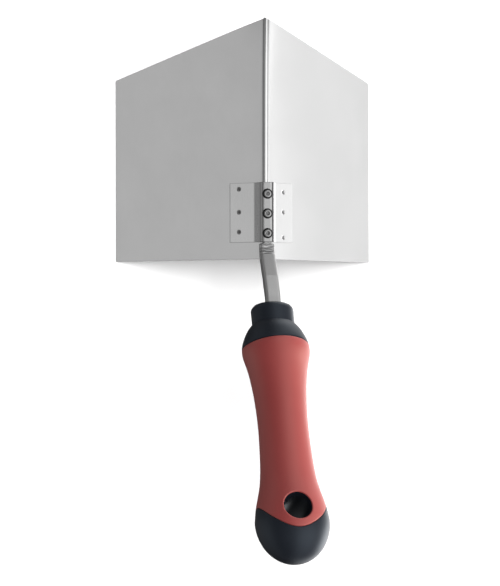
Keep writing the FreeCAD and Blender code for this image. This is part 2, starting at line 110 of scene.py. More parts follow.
def grid_faces(rows, columns, wrap_rows, wrap_columns):
    """Quads over a grid of points, row by row."""
    faces = []
    for i in range(rows if wrap_rows else rows - 1):
        for j in range(columns if wrap_columns else columns - 1):
            a = i * columns + j
            b = i * columns + (j + 1) % columns
            c = ((i + 1) % rows) * columns + (j + 1) % columns
            d = ((i + 1) % rows) * columns + j
            faces.append((a, b, c, d))
    return faces


def ring_mesh(name, rings, material, wrap=False):
    """A closed surface through equal rings of points. It ends in two fans, or wraps round."""
    rings = np.asarray(rings, float)
    rows, columns = rings.shape[:2]
    vertices = rings.reshape(-1, 3).tolist()
    faces = grid_faces(rows, columns, wrap, True)
    if not wrap:
        for ring, flip in ((0, True), (rows - 1, False)):
            centre = len(vertices)
            vertices.append(rings[ring].mean(0).tolist())
            for j in range(columns):
                a = ring * columns + j
                b = ring * columns + (j + 1) % columns
                faces.append((b, a, centre) if flip else (a, b, centre))
    piece = new_piece(name, vertices, faces, material)
    outward(piece)
    return piece


def strip_solid(name, loops, half, material):
    """A solid of equal closed outlines, each an outer run of half points and an inner run back.
    The two ends are closed with quads between the runs."""
    loops = np.asarray(loops)
    rows, columns = loops.shape[:2]
    faces = grid_faces(rows, columns, False, True)
    for row in (0, rows - 1):
        base = row * columns
        for j in range(half - 1):
            faces.append((base + j, base + j + 1, base + columns - 2 - j, base + columns - 1 - j))
    piece = new_piece(name, loops.reshape(-1, 3), faces, material)
    outward(piece)
    return piece


def outward(piece):
    """Turns every face to point out of the solid."""
    work = bmesh.new()
    work.from_mesh(piece.data)
    bmesh.ops.recalc_face_normals(work, faces=work.faces)
    work.to_mesh(piece.data)
    work.free()


def boolean(piece, cutter, operation):
    """Applies a boolean and removes the tool."""
    modifier = piece.modifiers.new(operation.lower(), "BOOLEAN")
    modifier.operation = operation
    modifier.solver = "EXACT"
    modifier.object = cutter
    bpy.context.view_layer.update()
    result = bpy.data.meshes.new_from_object(
        piece.evaluated_get(bpy.context.evaluated_depsgraph_get())
    )
    piece.modifiers.clear()
    piece.data = result
    bpy.data.objects.remove(cutter)


def bevel(piece, width, segments=3, angle=50):
    """Rounds the piece's sharp edges."""
    modifier = piece.modifiers.new("edges", "BEVEL")
    modifier.width = width
    modifier.segments = segments
    modifier.limit_method = "ANGLE"
    modifier.angle_limit = math.radians(angle)
    modifier.harden_normals = True


def spline(points):
    """A natural cubic spline through (x, y) points, as a function of x."""
    x, y = np.array(points, float).T
    n = len(x)
    step = np.diff(x)
    system = np.eye(n)
    right = np.zeros(n)
    for i in range(1, n - 1):
        system[i, i - 1:i + 2] = step[i - 1], 2 * (step[i - 1] + step[i]), step[i]
        right[i] = 6 * ((y[i + 1] - y[i]) / step[i] - (y[i] - y[i - 1]) / step[i - 1])
    second = np.linalg.solve(system, right)

    def curve(at):
        at = np.asarray(at, float)
        i = np.clip(np.searchsorted(x, at) - 1, 0, n - 2)
        a, b = x[i + 1] - at, at - x[i]
        bend = second[i] * a**3 + second[i + 1] * b**3
        line = (y[i] / step[i] - second[i] * step[i] / 6) * a
        return bend / (6 * step[i]) + line + (y[i + 1] / step[i] - second[i + 1] * step[i] / 6) * b

    return curve


def rounded_path(corners, radii, spacing):
    """Points and unit normals along a polyline whose inner corners are arcs.
    The normal is the direction of travel turned a quarter turn to the left."""
    corners = [np.array(c, float) for c in corners]
    points, normals = [], []

    def add(point, direction):
        points.append(point)
        normals.append(np.array((-direction[1], direction[0])))

    previous = corners[0]
    for i in range(1, len(corners)):
        direction = corners[i] - corners[i - 1]
        direction /= np.linalg.norm(direction)
        stop = corners[i]
        reach = 0.0
        if i < len(corners) - 1:
            after = corners[i + 1] - corners[i]
            after /= np.linalg.norm(after)
            turn = math.atan2(direction[0] * after[1] - direction[1] * after[0], direction @ after)
            reach = radii[i - 1] * math.tan(abs(turn) / 2)
            stop = corners[i] - direction * reach
        length = np.linalg.norm(stop - previous)
        count = max(1, round(length / spacing))
        for k in range(count):
            add(previous + direction * length * k / count, direction)
        previous = stop
        if reach:
            side = math.copysign(1.0, turn)
            normal = np.array((-direction[1], direction[0])) * side
            centre = stop + normal * radii[i - 1]
            steps = max(6, math.ceil(abs(turn) * radii[i - 1] / spacing))
            for k in range(steps):
                angle = turn * k / steps
                c, s = math.cos(angle), math.sin(angle)
                spun = np.array((c * direction[0] - s * direction[1],
                                 s * direction[0] + c * direction[1]))
                here = centre - radii[i - 1] * side * np.array((-spun[1], spun[0]))
                add(here, spun)
            previous = corners[i] + after * reach
            direction = after
    add(corners[-1], direction)
    return np.array(points), np.array(normals)


def set_mask(piece, name, values):
    """Stores one number per vertex, for the material to read."""
    layer = piece.data.attributes.new(name, "FLOAT", "POINT")
    layer.data.foreach_set("value", np.asarray(values, np.float32))


def falloff(distance, inner, outer):
    """1 inside inner, 0 outside outer, smooth between."""
    t = np.clip((outer - distance) / (outer - inner), 0, 1)
    return t * t * (3 - 2 * t)


# ---------------------------------------------------------------- materials

class Nodes:
    """A material's node tree, with short ways to add and join nodes."""

    def __init__(self, name):
        self.material = bpy.data.materials.new(name)
        self.material.use_nodes = True
        self.tree = self.material.node_tree
        self.shader = self.tree.nodes["Principled BSDF"]
        self.place = self.tree.nodes.new("ShaderNodeTexCoord").outputs["Object"]

    def add(self, kind, **settings):
        """A new node with some of its own settings."""
        node = self.tree.nodes.new(kind)
        for key, value in settings.items():
            setattr(node, key, value)
        return node

    def join(self, output, target):
        """A link from an output to an input."""
        self.tree.links.new(output, target)

    def noise(self, scale, stretch=(1, 1, 1), detail=3.0, rough=0.55):
        """Noise over the object's own coordinates, in metres, stretched along the axes."""
        mapping = self.add("ShaderNodeMapping")
        mapping.inputs["Scale"].default_value = stretch
        self.join(self.place, mapping.inputs["Vector"])
        noise = self.add("ShaderNodeTexNoise")
        noise.inputs["Scale"].default_value = scale
        noise.inputs["Detail"].default_value = detail
        noise.inputs["Roughness"].default_value = rough
        self.join(mapping.outputs["Vector"], noise.inputs["Vector"])
        return noise.outputs["Fac"]

    def ramp(self, factor, *stops):
        """Colours or greys at positions from 0 to 1."""
        ramp = self.add("ShaderNodeValToRGB")
        elements = ramp.color_ramp.elements
        while len(elements) < len(stops):
            elements.new(0.5)
        for element, (position, colour) in zip(elements, stops):
            element.position = position
            value = colour if hasattr(colour, "__len__") else (colour,) * 3
            element.color = (*value, 1)
        self.join(factor, ramp.inputs["Fac"])
        return ramp.outputs["Color"]

    def mix(self, factor, first, second):
        """A blend of two colours. factor is an output."""
        mix = self.add("ShaderNodeMix", data_type="RGBA")
        self.join(factor, mix.inputs[0])
        sockets = [socket for socket in mix.inputs if socket.type == "RGBA"]
        for socket, value in zip(sockets, (first, second)):
            if isinstance(value, bpy.types.NodeSocket):
                self.join(value, socket)
            else:
                socket.default_value = (*value, 1)
        return next(socket for socket in mix.outputs if socket.type == "RGBA")

    def mask(self, name):
        """A per-vertex number of the mesh."""
        return self.add("ShaderNodeAttribute", attribute_name=name).outputs["Fac"]

    def bump(self, height, strength, distance, under=None):
        """A normal that follows a height, on top of another bump if there is one."""
        bump = self.add("ShaderNodeBump")
        bump.inputs["Strength"].default_value = strength
        bump.inputs["Distance"].default_value = distance
        self.join(height, bump.inputs["Height"])
        if under is not None:
            self.join(under, bump.inputs["Normal"])
        return bump.outputs["Normal"]

    def set(self, **values):
        """Sets or joins the shader's inputs, named with underscores for spaces."""
        for key, value in values.items():
            socket = self.shader.inputs[key.replace("_", " ")]
            if isinstance(value, bpy.types.NodeSocket):
                self.join(value, socket)
            else:
                socket.default_value = value


# Near black that the vertex mask mixes into the steel: painted shade and painted dark reflections.
PAINTED_SHADE_TONE = 0.05


def steel(name, tone, rough, grain=(900, 30, 900), marks=0.0):
    """Satin stainless steel: fine grain along Y, faint handling marks, and painted shade and dark
    reflections where a vertex mask mixes in near black.
    """
    nodes = Nodes(name)
    cloud = nodes.noise(38, detail=4)
    clean = nodes.ramp(cloud, (0.3, tone * 0.97), (0.7, tone * 1.02))
    # Painted shade and dark reflections: the vertex mask darkens the colour towards near black and
    # dulls it.
    painted_shade = nodes.mask("painted_shade")
    colour = nodes.mix(painted_shade, clean, (PAINTED_SHADE_TONE,) * 3)
    brushed = nodes.noise(8, grain, detail=2)
    satin = nodes.ramp(brushed, (0.25, rough * 0.85), (0.75, rough * 1.2))
    dull = nodes.mix(painted_shade, satin, (0.6, 0.6, 0.6))
    normal = nodes.bump(brushed, 0.06, 0.00002)
    if marks:
        pits = nodes.noise(900, detail=5, rough=0.7)
        normal = nodes.bump(pits, marks, 0.0002, normal)
    nodes.set(Base_Color=colour, Metallic=1.0, Roughness=dull, Normal=normal)
    return nodes.material


def black_plastic():
    """Hard moulded plastic: blue-black, satin, with a very fine spark-eroded texture."""
    nodes = Nodes("black_plastic")
    cloud = nodes.noise(55, detail=3)
    colour = nodes.ramp(cloud, (0.3, (0.008, 0.010, 0.016)), (0.7, (0.011, 0.013, 0.020)))
    fine = nodes.noise(5200, detail=2)
    satin = nodes.ramp(cloud, (0.3, 0.40), (0.7, 0.44))
    nodes.set(Base_Color=colour, Roughness=satin, Normal=nodes.bump(fine, 0.12, 0.00004))
    nodes.set(Specular_IOR_Level=0.5, Specular_Tint=(0.74, 0.87, 1.0, 1.0))
    return nodes.material


def red_rubber():
    """Soft-touch elastomer: brick red, silky, with a fine texture and a dusty sheen."""
    nodes = Nodes("red_rubber")
    cloud = nodes.noise(48, detail=4)
    colour = nodes.ramp(cloud, (0.3, (0.38, 0.041, 0.043)), (0.7, (0.41, 0.047, 0.049)))
    fine = nodes.noise(4200, detail=3)
    satin = nodes.ramp(cloud, (0.3, 0.44), (0.7, 0.50))
    nodes.set(Base_Color=colour, Roughness=satin, Normal=nodes.bump(fine, 0.15, 0.00005))
    nodes.set(Specular_IOR_Level=1.0, Specular_Tint=(1.0, 0.91, 0.79, 1.0))
    nodes.set(Sheen_Weight=0.15, Sheen_Roughness=0.5, Sheen_Tint=(1.0, 0.86, 0.76, 1.0))
    return nodes.material


def pale_floor():
    """A matt, nearly white backdrop."""
    nodes = Nodes("pale_floor")
    cloud = nodes.noise(3)
    colour = nodes.ramp(cloud, (0.3, 0.89), (0.7, 0.90))
    nodes.set(Base_Color=colour, Roughness=0.9, Specular_IOR_Level=0.1)
    return nodes.material


# ---------------------------------------------------------------- blade

FOLD_RADIUS = 2.4 * MM        # outside bend radius
SIDE_FRONT = 88.1 * MM        # length of the wings' free edges; the ridge is longer
# Next to the fold each wing is still a little flatter than square. The angle of that easing
# and how far it reaches differ from side to side.
LEFT_SETTLE = math.radians(6.0)
LEFT_REACH = 8.0 * MM
RIGHT_SETTLE = math.radians(4.6)
RIGHT_REACH = 11.0 * MM
SIDE_BLEND = 4.0 * MM         # over which one side's easing turns into the other's
BLADE_GRID = 1.2 * MM         # spacing of its mesh's points across the fold
BLADE_ROWS = 96


def make_blade(material):
    """The folded sheet: a V with a rounded ridge and swept-back front edges."""
    free = (WING_HALF, RIDGE_Z - WING_HALF)
    path, normals = rounded_path(
        [(-free[0], free[1]), (0, RIDGE_Z), free], [FOLD_RADIUS], BLADE_GRID
    )
    sweep = (RIDGE_LENGTH - SIDE_FRONT) / WING_HALF
    outer, inner = [], []
    for v in np.linspace(0, 1, BLADE_ROWS + 1):
        across = np.abs(path[:, 0])
        y = REAR + v * (RIDGE_LENGTH - sweep * across)
        forward = (y - REAR) / RIDGE_LENGTH
        away = across * math.sqrt(2)
        left = LEFT_SETTLE * (forward**1.5 + 1.3 * forward**8) * LEFT_REACH
        right = RIGHT_SETTLE * (1.0 - 0.8 * forward) * RIGHT_REACH
        side = 0.5 + 0.5 * np.tanh(path[:, 0] / SIDE_BLEND)
        reach = LEFT_REACH + (RIGHT_REACH - LEFT_REACH) * side
        sink = -(left + (right - left) * side) * np.exp(-away / reach)
        top = path + normals * sink[:, None]
        under = path + normals * (sink - SHEET)[:, None]
        outer.append(np.c_[top[:, 0], y, top[:, 1]])
        inner.append(np.c_[under[:, 0], y, under[:, 1]])
    loops = [np.vstack([a, b[::-1]]) for a, b in zip(outer, inner)]
    piece = strip_solid("blade_sheet", loops, len(path), material)
    bevel(piece, 0.14 * MM, 2, 60)
    set_mask(piece, "painted_shade", np.zeros(len(piece.data.vertices)))
    hand_over(piece, "blade")
    return piece


# ---------------------------------------------------------------- bracket

BRACKET_SHEET = 0.9 * MM
BRACKET_REACH = 20.5 * MM
HAT_HALF = 2.83 * MM
HAT_RISE = 3.6 * MM
HAT_RADIUS = 1.7 * MM
FOOT_HALF = 5.0 * MM
FOOT_RADIUS = 2.4 * MM
BRACKET_GRID = 0.28 * MM      # spacing of its mesh's points
WELD_RADIUS = 1.15 * MM
WELD_DEPTH = 0.42 * MM
WELD_LIP = 0.03 * MM

# Side, distance from the ridge along the wing, distance forward of the rear edge.
WELDS = [
    (-1, 15.0 * MM, 33.3 * MM),
    (-1, 15.0 * MM, 22.4 * MM),
    (-1, 15.0 * MM, 13.0 * MM),
    (1, 13.0 * MM, 31.8 * MM),
    (1, 13.0 * MM, 22.4 * MM),
    (1, 13.0 * MM, 10.3 * MM),
]


def weld_marks(path, y):
    """How far a row of the bracket is pushed in or out at its welds, and the painted shade in their
    dimples.
    """
    sink = np.zeros(len(path))
    shade_mask = np.zeros(len(path))
    for side, reach, forward in WELDS:
        middle = side * (reach + BRACKET_SHEET) * math.sqrt(0.5)
        distance = np.hypot((path[:, 0] - middle) * math.sqrt(2), y - REAR - forward)
        pit = falloff(distance, 0.45 * WELD_RADIUS, WELD_RADIUS)
        lip = falloff(np.abs(distance - 1.25 * WELD_RADIUS), 0, 0.3 * WELD_RADIUS)
        sink += WELD_LIP * lip - WELD_DEPTH * pit
        # Painted shade in each weld dimple.
        shade_mask = np.maximum(shade_mask, 0.8 * falloff(distance, 0.4 * WELD_RADIUS, 1.05 * WELD_RADIUS))
    return sink, shade_mask


def strip_shade_mask(path, to_rear, to_front):
    """Painted dark reflections along the raised strip, a painted contact shadow along the left hem
    and painted shadow lines at the two ends.
    """
    sideways = np.abs(path[:, 0])
    height = path[:, 1] - RIDGE_Z
    # Painted dark reflection on the strip's flat top.
    top = 0.22 * falloff(sideways, HAT_HALF - 1.3 * MM, HAT_HALF)
    # Painted dark reflections in the strip's bends, stronger on the right.
    bends = falloff(np.abs(sideways - HAT_HALF), 0.5 * MM, 1.25 * MM) * (height > 1.6 * MM)
    bends = np.where(path[:, 0] < 0, 0.45, 0.85) * bends
    left_hem = (BRACKET_REACH + BRACKET_SHEET) * math.sqrt(0.5)
    # Painted contact shadow along the left hem.
    hem = 0.45 * falloff(left_hem + path[:, 0], 0.10 * MM, 0.45 * MM)
    # Painted shadow lines along the rear and front ends, darkest on the raised strip.
    tips = falloff(min(to_rear, to_front), 0.1 * MM, 0.5 * MM)
    ends = 0.30 * falloff(to_rear, 0, 0.35 * MM) + 0.2 * falloff(to_front, 0, 0.3 * MM)
    ends = ends + 0.5 * tips * (height > 2.4 * MM)
    return np.maximum.reduce([top, bends, hem, ends])


def make_bracket(material):
    """The hat-section plate with its weld dimples."""
    rise = BRACKET_SHEET / math.sqrt(0.5)
    flange = BRACKET_REACH * math.sqrt(0.5)
    shift = BRACKET_SHEET * math.sqrt(0.5)
    corners = [
        (flange + shift, shift - flange),
        (FOOT_HALF, rise - FOOT_HALF),
        (HAT_HALF, HAT_RISE),
    ]
    outline = [(-x, z) for x, z in corners] + corners[::-1]
    outline = [(x, z + RIDGE_Z) for x, z in outline]
    path, normals = rounded_path(
        outline, [FOOT_RADIUS, HAT_RADIUS, HAT_RADIUS, FOOT_RADIUS], BRACKET_GRID
    )
    length = bracket_high.y - bracket_low.y
    rows = round(length / BRACKET_GRID)
    loops, painted_shade = [], []
    for v in np.linspace(0, 1, rows + 1):
        y = bracket_low.y + v * length
        sink, shade_mask = weld_marks(path, y)
        # The welds' painted shade joined with the strip's painted shade and dark reflections.
        shade_mask = np.maximum(shade_mask, strip_shade_mask(path, v * length, (1 - v) * length))
        top = path + normals * sink[:, None]
        under = path - normals * BRACKET_SHEET
        along = np.full(len(path), y)
        loops.append(np.vstack([
            np.c_[top[:, 0], along, top[:, 1]],
            np.c_[under[:, 0], along, under[:, 1]][::-1],
        ]))
        painted_shade.append(np.concatenate([shade_mask, np.zeros(len(path))]))
    piece = strip_solid("bracket_plate", loops, len(path), material)
    set_mask(piece, "painted_shade", np.concatenate(painted_shade))
    bevel(piece, 0.12 * MM, 2, 60)
    hand_over(piece, "bracket")
    return piece


# ---------------------------------------------------------------- rivets

# Distance forward of the rear edge.
RIVETS = {"rear": 12.0 * MM, "middle": 21.3 * MM, "front": 30.6 * MM}
RIVET_HEAD = 2.45 * MM
RIVET_CROWN = 1.78 * MM       # radius of the dome inside the flat rim
RIVET_SHANK = 1.2 * MM
RIVET_BULB = 1.7 * MM         # radius of the blind end
RIVET_GRIP = 2.8 * MM         # length of the shank under the head
PIN_RADIUS = 0.75 * MM
# The broken ends of the pins differ from rivet to rivet.
PIN_PHASE = {"rear": 1.0, "middle": 2.3, "front": 4.1}


def turned(name, outline, centre, material, around=64, wobble=None):
    """A solid of revolution about a vertical axis. outline holds (radius, height) pairs."""
    angles = np.linspace(0, 2 * math.pi, around, endpoint=False)
    rings = []
    for number, (radius, height) in enumerate(outline):
        lift = np.zeros(around) if wobble is None else wobble(number, angles)
        rings.append(np.c_[
            centre.x + radius * np.cos(angles),
            centre.y + radius * np.sin(angles),
            centre.z + height + lift,
        ])
    return ring_mesh(name, rings, material)


def rivet_outline():
    """Radius and height of the rivet: the pin's well, dome, rim, shank and blind end."""
    outline = [(PIN_RADIUS + 0.02 * MM, 0.52 * MM), (PIN_RADIUS + 0.05 * MM, 0.70 * MM)]
    for k in range(9):
        share = k / 8
        radius = PIN_RADIUS + 0.12 * MM + share * (RIVET_CROWN - PIN_RADIUS - 0.4 * MM)
        outline.append((radius, (0.76 + 0.08 * math.sin(math.pi * share)) * MM))
    for k in range(1, 8):
        angle = math.pi / 2 * k / 7
        outline.append((
            RIVET_CROWN - 0.28 * MM * (1 - math.sin(angle)),
            0.76 * MM - 0.36 * MM * (1 - math.cos(angle)),
        ))
    return outline + [
        (RIVET_CROWN + 0.02 * MM, 0.20 * MM),
        (RIVET_CROWN + 0.10 * MM, 0.14 * MM),
        (2.30 * MM, 0.10 * MM),
        (RIVET_HEAD, 0.02 * MM),
        (RIVET_HEAD, -0.02 * MM),
        (RIVET_SHANK, -0.02 * MM),
        (RIVET_SHANK, -RIVET_GRIP),
        (RIVET_BULB, -RIVET_GRIP - 0.1 * MM),
        (RIVET_BULB, -RIVET_GRIP - 0.8 * MM),
        (RIVET_SHANK, -RIVET_GRIP - 0.9 * MM),
    ]


def pin_outline():
    """Radius and height of the broken-off pin."""
    top = 0.60 * MM
    return [
        (0.16 * MM, top),
        (0.40 * MM, top - 0.04 * MM),
        (0.60 * MM, top + 0.02 * MM),
        (0.72 * MM, top - 0.06 * MM),
        (0.74 * MM, top - 0.16 * MM),
        (0.74 * MM, -RIVET_GRIP - 0.85 * MM),
        (0.3 * MM, -RIVET_GRIP - 0.95 * MM),
    ]


def make_rivet(name, along, metal, pin_metal):
    """A blind rivet: domed head with a shoulder, shank and blind end, and its broken pin."""
    centre = Vector((0, REAR + along, RIDGE_Z + HAT_RISE))
    rivet = turned("rivet_body_" + name, rivet_outline(), centre, metal)
    vertices = np.array([v.co for v in rivet.data.vertices])
    radius = np.hypot(vertices[:, 0] - centre.x, vertices[:, 1] - centre.y)
    # Painted shadow ring on the shoulder round the dome, and painted shade in the pin's well.
    groove = falloff(np.abs(radius - 2.12 * MM), 0.34 * MM, 0.52 * MM)
    well = falloff(np.abs(radius - PIN_RADIUS), 0.05 * MM, 0.30 * MM) * 0.6
    set_mask(rivet, "painted_shade", np.maximum(groove, well))
    hand_over(rivet, "rivet_" + name)

    def broken(ring, angles):
        """The uneven break, on the pin's first four rings."""
        if ring > 3:
            return 0 * angles
        return 0.05 * MM * np.sin(2 * angles + PIN_PHASE[name] + ring)

    pin = turned("rivet_stub_" + name, pin_outline(), centre, pin_metal, 40, broken)
    # Painted shade: the whole pin is darkened where it sits in the rivet's well.
    set_mask(pin, "painted_shade", np.full(len(pin.data.vertices), 0.2))
    hand_over(pin, "rivet_pin_" + name)


# ---------------------------------------------------------------- tang

TANG_WIDE = 7.0 * MM
TANG_THICK = 5.0 * MM
TANG_LIFT = 1.7 * MM
TANG_ANGLE = math.radians(38.5)
TANG_STEP = 15.0 * MM         # from the first bend to a flat left by the forging hammer
TANG_EASED = math.radians(33)
TANG_BEND = 2.3 * MM
PALM_WIDE = 3.8 * MM
PALM_THICK = 1.9 * MM
PALM_FRONT = 34.5 * MM
BRACKET_BACK = 7.95 * MM      # from the blade's rear edge to the bracket's
SPIKE_END = 60.0 * MM         # from the handle's front face
SPIKE_SHARE = 0.35            # of the bar's section, left at the spike's tip
TANG_NECK = 3.7 * MM          # thickness right behind the bracket

# Hammer marks just behind the bracket: place along the bar, depth, half width, lean across it.
DENTS = [
    (0.9 * MM, 0.25 * MM, 0.6 * MM, 0.05),
    (1.6 * MM, 0.14 * MM, 0.4 * MM, 0.35),
    (2.3 * MM, 0.28 * MM, 0.6 * MM, -0.22),
    (2.9 * MM, 0.16 * MM, 0.4 * MM, -0.50),
    (3.3 * MM, 0.18 * MM, 0.4 * MM, 0.30),
    (4.6 * MM, 0.30 * MM, 0.6 * MM, 0.12),
    (5.3 * MM, 0.15 * MM, 0.4 * MM, -0.40),
    (6.2 * MM, 0.20 * MM, 0.5 * MM, -0.10),
]


def rounded_rectangle(wide, thick, radius, per_side=7, per_corner=6):
    """Points round a rectangle with rounded corners, starting at the middle of the top."""
    points = []
    corners = [(1, 1, 90, 0), (1, -1, 0, -90), (-1, -1, -90, -180), (-1, 1, 180, 90)]
    for sx, sy, start, stop in corners:
        centre = (sx * (wide / 2 - radius), sy * (thick / 2 - radius))
        for k in range(per_corner + 1):
            angle = math.radians(start + (stop - start) * k / per_corner)
            points.append((centre[0] + radius * math.cos(angle),
                           centre[1] + radius * math.sin(angle)))
    dense = []
    for i, point in enumerate(points):
        after = points[(i + 1) % len(points)]
        steps = per_side if math.dist(point, after) > 2 * radius / per_corner else 1
        for k in range(steps):
            share = k / steps
            dense.append((point[0] + (after[0] - point[0]) * share,
                          point[1] + (after[1] - point[1]) * share))
    return np.array(dense)


def meeting(point, direction, other, other_direction):
    """Where two lines in a plane cross."""
    across = other - point
    turn = direction[0] * other_direction[1] - direction[1] * other_direction[0]
    share = (across[0] * other_direction[1] - across[1] * other_direction[0]) / turn
    return point + direction * share


def hammer_marks(section, behind):
    """How deep the marks are round the bar's section, at a distance behind the bracket."""
    depth = np.zeros(len(section))
    for place, deepest, width, lean in DENTS:
        distance = np.abs(behind - place - lean * section[:, 0])
        depth += deepest * falloff(distance, 0, width)
    return depth * (section[:, 1] > 0)


def make_tang(material):
    """The forged bar: flat palm under the bracket, two bends, and a spike in the handle."""
    first = np.array((REAR + TANG_BEND, RIDGE_Z + TANG_LIFT))
    slope = np.array((-math.cos(TANG_ANGLE), math.sin(TANG_ANGLE)))
    step = first + slope * TANG_STEP
    eased = np.array((-math.cos(TANG_EASED), math.sin(TANG_EASED)))
    handle = np.array((HANDLE_U.y, HANDLE_U.z))
    entry = np.array((HANDLE_START.y, HANDLE_START.z))
    second = meeting(step, eased, entry, handle)
    start = np.array((REAR + PALM_FRONT, RIDGE_Z + TANG_LIFT))
    path, normals = rounded_path(
        [start, first, step, second, entry + handle * SPIKE_END],
        [8 * MM, 2 * MM, 20 * MM], 0.3 * MM
    )
    normals = -normals
    travelled = np.r_[0, np.cumsum(np.linalg.norm(np.diff(path, axis=0), axis=1))]
    root = PALM_FRONT - BRACKET_BACK + 0.3 * MM
    total = travelled[-1]
    rings, painted_shade = [], []
    for point, normal, at in zip(path, normals, travelled):
        bar = 1 - falloff(at, root, root + 0.7 * MM)
        swell = 1 - falloff(at, root + 1.5 * MM, root + 7.5 * MM)
        point_share = SPIKE_SHARE + (1 - SPIKE_SHARE) * falloff(at, total - 12 * MM, total - 0.5 * MM)
        full = TANG_NECK + (TANG_THICK - TANG_NECK) * swell
        wide = (PALM_WIDE + (TANG_WIDE - PALM_WIDE) * bar) * point_share
        thick = (PALM_THICK + (full - PALM_THICK) * bar) * point_share
        section = rounded_rectangle(wide, thick, min(1.0 * MM, 0.32 * thick))
        dents = hammer_marks(section, at - root)
        section[:, 1] -= dents
        middle = point + normal * (0.28 * MM * (1 - bar) - 0.45 * MM * bar * (1 - swell))
        rings.append(np.c_[
            section[:, 0],
            middle[0] + normal[0] * section[:, 1],
            middle[1] + normal[1] * section[:, 1],
        ])
        # Painted shade in the hammer dents, darker where they are deeper.
        painted_shade.append(np.clip(dents / (0.25 * MM), 0, 1) * 0.35)
    piece = ring_mesh("tang_bar", rings, material)
    mask = np.zeros(len(piece.data.vertices))
    mask[:np.size(painted_shade)] = np.concatenate(painted_shade)
    set_mask(piece, "painted_shade", mask)
    hand_over(piece, "tang")
    return piece


# ---------------------------------------------------------------- handle

HANDLE_LENGTH = 127.0 * MM
DEPTH_RATIO = 0.8
COLLAR_HALF = 10.15 * MM
COLLAR_ROUND = 3.2 * MM
COLLAR_TAPER = 0.012
CREASE_AT = 9.6 * MM          # where the collar meets the bulge
HEEL_AT = 107.0 * MM
HEEL_HALF = 17.3 * MM
GRIP_START = 20.0 * MM
GRIP_END = 100.0 * MM
GRIP_SWEEP = 1.2 * MM         # how much later the grip begins at its sides
GRIP_SKEW = 0.6 * MM          # how much both its edges run back on the left
GRIP_LOBE = 13.6 * MM         # how much further back the grip reaches round the hole
GRIP_SKIN = 2.2 * MM
BORE_GAP = 0.05 * MM          # clearance between the grip's inside and the core
GRIP_EDGE = 0.55 * MM         # rounding of its two edges
GRIP_RIM = 0.65 * MM          # and of its hole
GRIP_RINGS = 210
SEAM = 0.10 * MM              # gap between the grip and the core's shoulders
CORE_EDGE = 0.35 * MM         # rounding of those shoulders
HOLE_RADIUS = 5.8 * MM
LINING_RADIUS = 6.6 * MM
AROUND = 240

# The bore's mouth: it starts below the grip's surface and narrows as it goes in.
FUNNEL = [
    (LINING_RADIUS, 4.0 * MM),
    (LINING_RADIUS, -0.50 * MM),
    (LINING_RADIUS - 0.10 * MM, -0.75 * MM),
    (HOLE_RADIUS + 0.10 * MM, -2.60 * MM),
    (HOLE_RADIUS, -3.20 * MM),
]
# The far end of the bore is a little narrower and lies further to the rear left, so that the
# floor can't be seen through it from above.
BACK_RIM = [
    (HOLE_RADIUS - 0.3 * MM, 4.0 * MM),
    (HOLE_RADIUS - 0.3 * MM, -0.25 * MM),
]
BACK_LEAN = (-0.35 * MM, 0.40 * MM)

profile = spline([
    (CREASE_AT, 10.0 * MM),
    (12.0 * MM, 12.0 * MM),
    (15.5 * MM, 14.0 * MM),
    (22.6 * MM, 16.0 * MM),
    (30.0 * MM, 14.65 * MM),
    (39.0 * MM, 13.05 * MM),
    (48.5 * MM, 12.15 * MM),
    (58.0 * MM, 11.75 * MM),
    (67.5 * MM, 11.85 * MM),
    (76.5 * MM, 12.25 * MM),
    (90.3 * MM, 13.8 * MM),
    (100.5 * MM, 16.3 * MM),
    (HEEL_AT, HEEL_HALF),
])


def half_width(u):
    """Half width of the handle at a distance from its front face, without the collar."""
    u = np.asarray(u, float)
    round_end = np.clip((u - HEEL_AT) / (HANDLE_LENGTH - HEEL_AT), 0, 1)
    return np.where(u <= HEEL_AT, profile(np.minimum(u, HEEL_AT)),
                    HEEL_HALF * np.sqrt(1 - round_end**2))


def half_axes(u, inset=0.0):
    """Half width and half depth at u, both made smaller by inset."""
    u = np.asarray(u, float)
    front = np.clip((COLLAR_ROUND - u) / COLLAR_ROUND, 0, 1)
    rounded = COLLAR_ROUND * (1 - np.sqrt(1 - front**2))
    collar_wide = COLLAR_HALF - COLLAR_TAPER * u
    body = half_width(np.maximum(u, CREASE_AT))
    wide = np.where(u < CREASE_AT, collar_wide - rounded, np.maximum(body, 0))
    deep = np.where(u < CREASE_AT, collar_wide * DEPTH_RATIO - rounded, body * DEPTH_RATIO)
    return np.maximum(wide - inset, 1e-6), np.maximum(deep - inset, 1e-6)


def handle_ring(u, inset, turn):
    """Points of a handle section in the row frame. u and inset may differ round the ring."""
    wide, deep = half_axes(u, inset)
    x, v = wide * np.cos(turn), deep * np.sin(turn)
    u = np.broadcast_to(u, x.shape)
    return to_row(x, u, v)


def to_row(x, u, v):
    """Handle coordinates to the row frame."""
    place = [
        HANDLE_START[i] + HANDLE_U[i] * u + HANDLE_V[i] * v + HANDLE_W[i] * x for i in range(3)
    ]
    return np.stack(place, axis=-1)


def grip_front(turn):
    """Where the grip begins: a little further back at the sides, mostly on the left."""
    return GRIP_START + GRIP_SWEEP * np.cos(turn)**2 - GRIP_SKEW * np.cos(turn)


def grip_rear(turn):
    """Where the grip ends: further back on the front and back faces, round the hole."""
    return GRIP_END + GRIP_LOBE * np.abs(np.sin(turn))**1.9 - GRIP_SKEW * np.cos(turn)


def edge_inset(distance, radius):
    """How far a rounded edge falls away at a distance from the edge."""
    near = np.clip((radius - distance) / radius, 0, 1)
    return radius * (1 - np.sqrt(1 - near**2))


def surface_height(x, u):
    """Half depth of the handle's surface over a point of its middle plane."""
    wide, deep = half_axes(u)
    return deep * np.sqrt(np.maximum(1 - (x / wide)**2, 0))


